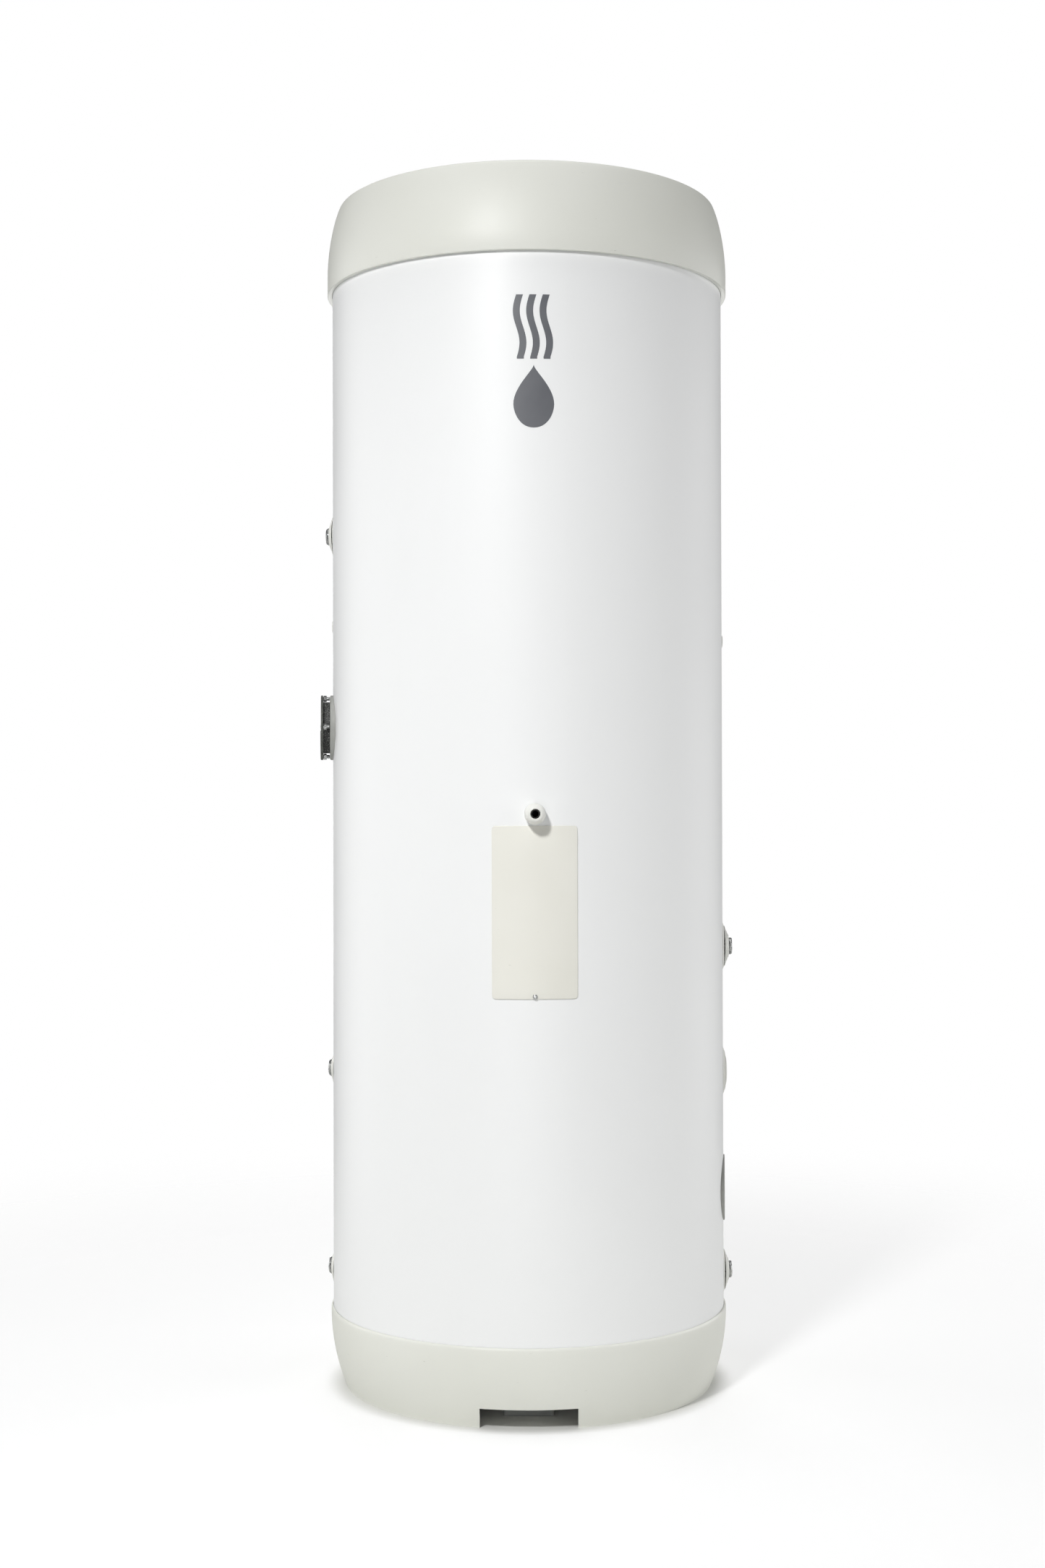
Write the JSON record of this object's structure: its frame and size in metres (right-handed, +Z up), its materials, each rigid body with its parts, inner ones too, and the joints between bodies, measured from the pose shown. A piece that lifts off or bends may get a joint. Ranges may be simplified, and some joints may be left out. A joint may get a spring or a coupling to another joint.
{
  "type": "tank water heater",
  "caption": "Floor-standing white cylindrical tank water heater with moulded end caps, a small front service cover with a cable gland, and pipe nipples on both sides.",
  "frame": {"origin": "on the floor, on the tank's vertical axis", "axes": "+Z up, -Y towards the service side with the access cover, +X to the right of someone facing that side"},
  "size_m": [0.6152, 0.6158, 1.74],
  "materials": {
    "jacket_lacquer": "satin",
    "moulded_caps": "satin",
    "cover_lacquer": "satin",
    "white_plastic": "satin",
    "grey_plastic": "satin",
    "dark_plate": "matte",
    "black_rubber": "matte",
    "zinc_steel": "satin",
    "tank_enamel": "gloss",
    "brass": "satin",
    "magnesium": "matte",
    "foam": "matte",
    "black_plastic": "satin",
    "red_plastic": "satin"
  },
  "bodies": {
    "heater": {"anode_plug": "brass", "anode_rod": "magnesium", "base_cap": "moulded_caps", "blank_port_cap": "white_plastic", "cable_gland_body": "white_plastic", "cable_gland_locknut": "white_plastic", "cable_gland_seal": "black_rubber", "circulation_nipple": "zinc_steel", "circulation_rosette": "white_plastic", "coil_flow_nipple": "zinc_steel", "coil_flow_rosette": "white_plastic", "coil_return_nipple": "zinc_steel", "coil_return_rosette": "white_plastic", "cold_inlet_elbow": "zinc_steel", "cold_inlet_nipple": "zinc_steel", "cold_inlet_rosette": "white_plastic", "earth_screw": "brass", "heat_exchanger_coil": "tank_enamel", "heater_boss": "zinc_steel", "heater_plug": "brass", "heating_element": "zinc_steel", "hot_outlet_nipple": "zinc_steel", "hot_outlet_riser": "zinc_steel", "hot_outlet_rosette": "white_plastic", "insulation_base": "foam", "insulation_side": "foam", "insulation_top": "foam", "jacket_seam_strip": "jacket_lacquer", "left_sensor_plug": "white_plastic", "left_sensor_pocket": "brass", "outer_jacket": "jacket_lacquer", "right_flange_cover": "grey_plastic", "right_sensor_plug": "white_plastic", "right_sensor_pocket": "brass", "service_bracket": "zinc_steel", "side_flange_bolt_1": "zinc_steel", "side_flange_bolt_2": "zinc_steel", "side_flange_bolt_3": "zinc_steel", "side_flange_bolt_4": "zinc_steel", "side_flange_gasket": "black_rubber", "side_flange_plate": "dark_plate", "side_flange_ring": "grey_plastic", "tank_barrel": "tank_enamel", "tank_bottom_head": "tank_enamel", "tank_leg_front": "zinc_steel", "tank_leg_left": "zinc_steel", "tank_leg_right": "zinc_steel", "tank_top_head": "tank_enamel", "terminal_block": "white_plastic", "thermostat_body": "black_plastic", "thermostat_pocket": "zinc_steel", "top_cap": "moulded_caps"},
    "access_cover": {"access_cover": "cover_lacquer", "access_cover_screw": "zinc_steel"},
    "gland_nut": {"cable_gland_nut": "white_plastic"},
    "thermostat_dial": {"thermostat_dial": "white_plastic"},
    "reset_button": {"reset_button": "red_plastic"},
    "foot_front": {"levelling_foot_front": "grey_plastic"},
    "foot_right": {"levelling_foot_right": "grey_plastic"},
    "foot_left": {"levelling_foot_left": "grey_plastic"}
  },
  "joints": [
    {"name": "access_cover_swing", "type": "hinge", "parent": "heater", "child": "access_cover", "pos_m": [0, -0.2916, 0.8244], "axis": [-1, 0, 0], "range_deg": [0, 60]},
    {"name": "gland_nut_turn", "type": "hinge", "parent": "heater", "child": "gland_nut", "pos_m": [0, -0.3, 0.8405], "axis": [0, -1, 0], "continuous": true},
    {"name": "thermostat_dial_turn", "type": "hinge", "parent": "heater", "child": "thermostat_dial", "pos_m": [-0.008, -0.283, 0.762], "axis": [0, -1, 0], "range_deg": [-270, 0]},
    {"name": "reset_button_press", "type": "slide", "parent": "heater", "child": "reset_button", "axis": [0, 1, 0], "range_m": [0, 0.002], "stiffness_N_per_m": 400},
    {"name": "foot_front_adjust", "type": "slide", "parent": "heater", "child": "foot_front", "axis": [0, 0, -1], "range_m": [0, 0.02]},
    {"name": "foot_right_adjust", "type": "slide", "parent": "heater", "child": "foot_right", "axis": [0, 0, -1], "range_m": [0, 0.02]},
    {"name": "foot_left_adjust", "type": "slide", "parent": "heater", "child": "foot_left", "axis": [0, 0, -1], "range_m": [0, 0.02]}
  ]
}
